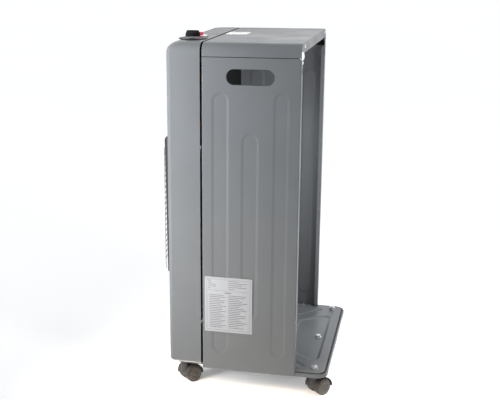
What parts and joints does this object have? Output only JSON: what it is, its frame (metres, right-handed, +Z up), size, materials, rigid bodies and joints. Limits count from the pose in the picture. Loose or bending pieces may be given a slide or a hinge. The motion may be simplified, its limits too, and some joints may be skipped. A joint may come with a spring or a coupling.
{
  "type": "gas cabinet heater",
  "caption": "Mobile gas cabinet heater: ribbed sheet steel cabinet on swivel castors, open at the back for a cylinder, with a wire-guarded radiant burner and controls on top.",
  "frame": {"origin": "on the floor, under the middle of the overall length and width", "axes": "+X to the side that carries the rating label and the controls' end, -Y to the burner front, +Y to the cylinder opening, +Z up"},
  "size_m": [0.4204, 0.3896, 0.7805],
  "materials": {
    "grey_paint": "silver grey semi-gloss powder coat with a fine metallic fleck",
    "black_paint": "black heat-resistant satin paint",
    "aluminised_steel": "bare aluminised sheet, softly reflective",
    "steel_wire": "bright plated wire",
    "plaque_ceramic": "matt porous ceramic, off white",
    "valve_brass": "machined brass",
    "copper_tube": "drawn copper tube, slightly dulled",
    "pilot_tube": "drawn aluminium tube",
    "zinc_steel": "bright zinc plating",
    "black_plastic": "fine-textured black moulding",
    "red_plastic": "glossy red moulding",
    "castor_plastic": "brown-grey moulded nylon, faintly glossy",
    "label_film": "white printed film"
  },
  "bodies": {
    "cabinet": {"front_fascia": "grey_paint", "top_cover": "grey_paint", "side_panel_right": "grey_paint", "side_panel_left": "grey_paint", "partition_panel": "black_paint", "base_plate": "grey_paint", "burner_surround": "black_paint", "reflector": "aluminised_steel", "guard_grille": "steel_wire", "burner_box_left": "aluminised_steel", "burner_box_centre": "aluminised_steel", "burner_box_right": "aluminised_steel", "ceramic_plaque_left": "plaque_ceramic", "ceramic_plaque_centre": "plaque_ceramic", "ceramic_plaque_right": "plaque_ceramic", "gas_valve": "valve_brass", "gas_pipe_left": "copper_tube", "gas_pipe_centre": "copper_tube", "gas_pipe_right": "copper_tube", "inlet_pipe": "copper_tube", "hose_nozzle": "valve_brass", "pilot_burner": "zinc_steel", "pilot_pipe": "pilot_tube", "thermocouple_lead": "copper_tube", "ignition_lead": "black_plastic", "dial_plate": "black_plastic", "piezo_igniter": "black_plastic", "rating_label": "label_film", "top_sticker": "label_film", "top_screw_right": "zinc_steel", "top_screw_left": "zinc_steel", "shelf_bolt": "zinc_steel", "castor_front_right_stem": "zinc_steel", "castor_front_right_nut": "zinc_steel", "castor_rear_right_stem": "zinc_steel", "castor_rear_right_nut": "zinc_steel", "castor_front_left_stem": "zinc_steel", "castor_front_left_nut": "zinc_steel", "castor_rear_left_stem": "zinc_steel", "castor_rear_left_nut": "zinc_steel"},
    "valve_plunger": {"valve_plunger": "zinc_steel"},
    "control_knob": {"control_knob": "black_plastic", "valve_spindle": "zinc_steel"},
    "igniter_button": {"igniter_button": "red_plastic"},
    "castor_front_right": {"castor_front_right_hood": "castor_plastic", "castor_front_right_axle": "zinc_steel"},
    "castor_front_right_wheel_a": {"castor_front_right_wheel_a": "castor_plastic"},
    "castor_front_right_wheel_b": {"castor_front_right_wheel_b": "castor_plastic"},
    "castor_rear_right": {"castor_rear_right_hood": "castor_plastic", "castor_rear_right_axle": "zinc_steel"},
    "castor_rear_right_wheel_a": {"castor_rear_right_wheel_a": "castor_plastic"},
    "castor_rear_right_wheel_b": {"castor_rear_right_wheel_b": "castor_plastic"},
    "castor_front_left": {"castor_front_left_hood": "castor_plastic", "castor_front_left_axle": "zinc_steel"},
    "castor_front_left_wheel_a": {"castor_front_left_wheel_a": "castor_plastic"},
    "castor_front_left_wheel_b": {"castor_front_left_wheel_b": "castor_plastic"},
    "castor_rear_left": {"castor_rear_left_hood": "castor_plastic", "castor_rear_left_axle": "zinc_steel"},
    "castor_rear_left_wheel_a": {"castor_rear_left_wheel_a": "castor_plastic"},
    "castor_rear_left_wheel_b": {"castor_rear_left_wheel_b": "castor_plastic"}
  },
  "joints": [
    {"name": "knob_push", "type": "slide", "parent": "cabinet", "child": "valve_plunger", "axis": [0, 0, -1], "range_m": [0, 0.003], "stiffness_N_per_m": 800, "springref_m": -0.004},
    {"name": "knob_turn", "type": "hinge", "parent": "valve_plunger", "child": "control_knob", "pos_m": [0.126, -0.12629, 0.77], "axis": [0, 0, 1], "range_deg": [0, 240]},
    {"name": "igniter_press", "type": "slide", "parent": "cabinet", "child": "igniter_button", "axis": [0, 0, -1], "range_m": [0, 0.005], "stiffness_N_per_m": 400, "springref_m": -0.004},
    {"name": "front_right_swivel", "type": "hinge", "parent": "cabinet", "child": "castor_front_right", "pos_m": [0.18, -0.13529, 0.045], "axis": [0, 0, 1], "continuous": true},
    {"name": "front_right_wheel_a_spin", "type": "hinge", "parent": "castor_front_right", "child": "castor_front_right_wheel_a", "pos_m": [0.16943, -0.12611, 0.019], "axis": [-0.6561, -0.7547, 0], "continuous": true},
    {"name": "front_right_wheel_b_spin", "type": "hinge", "parent": "castor_front_right", "child": "castor_front_right_wheel_b", "pos_m": [0.16943, -0.12611, 0.019], "axis": [-0.6561, -0.7547, 0], "continuous": true},
    {"name": "rear_right_swivel", "type": "hinge", "parent": "cabinet", "child": "castor_rear_right", "pos_m": [0.18, 0.15571, 0.045], "axis": [0, 0, 1], "continuous": true},
    {"name": "rear_right_wheel_a_spin", "type": "hinge", "parent": "castor_rear_right", "child": "castor_rear_right_wheel_a", "pos_m": [0.16943, 0.16489, 0.019], "axis": [-0.6561, -0.7547, 0], "continuous": true},
    {"name": "rear_right_wheel_b_spin", "type": "hinge", "parent": "castor_rear_right", "child": "castor_rear_right_wheel_b", "pos_m": [0.16943, 0.16489, 0.019], "axis": [-0.6561, -0.7547, 0], "continuous": true},
    {"name": "front_left_swivel", "type": "hinge", "parent": "cabinet", "child": "castor_front_left", "pos_m": [-0.18, -0.13529, 0.045], "axis": [0, 0, 1], "continuous": true},
    {"name": "front_left_wheel_a_spin", "type": "hinge", "parent": "castor_front_left", "child": "castor_front_left_wheel_a", "pos_m": [-0.17343, -0.12293, 0.019], "axis": [-0.8829, 0.4695, 0], "continuous": true},
    {"name": "front_left_wheel_b_spin", "type": "hinge", "parent": "castor_front_left", "child": "castor_front_left_wheel_b", "pos_m": [-0.17343, -0.12293, 0.019], "axis": [-0.8829, 0.4695, 0], "continuous": true},
    {"name": "rear_left_swivel", "type": "hinge", "parent": "cabinet", "child": "castor_rear_left", "pos_m": [-0.18, 0.15571, 0.045], "axis": [0, 0, 1], "continuous": true},
    {"name": "rear_left_wheel_a_spin", "type": "hinge", "parent": "castor_rear_left", "child": "castor_rear_left_wheel_a", "pos_m": [-0.173, 0.14358, 0.019], "axis": [0.866, 0.5, 0], "continuous": true},
    {"name": "rear_left_wheel_b_spin", "type": "hinge", "parent": "castor_rear_left", "child": "castor_rear_left_wheel_b", "pos_m": [-0.173, 0.14358, 0.019], "axis": [0.866, 0.5, 0], "continuous": true}
  ]
}
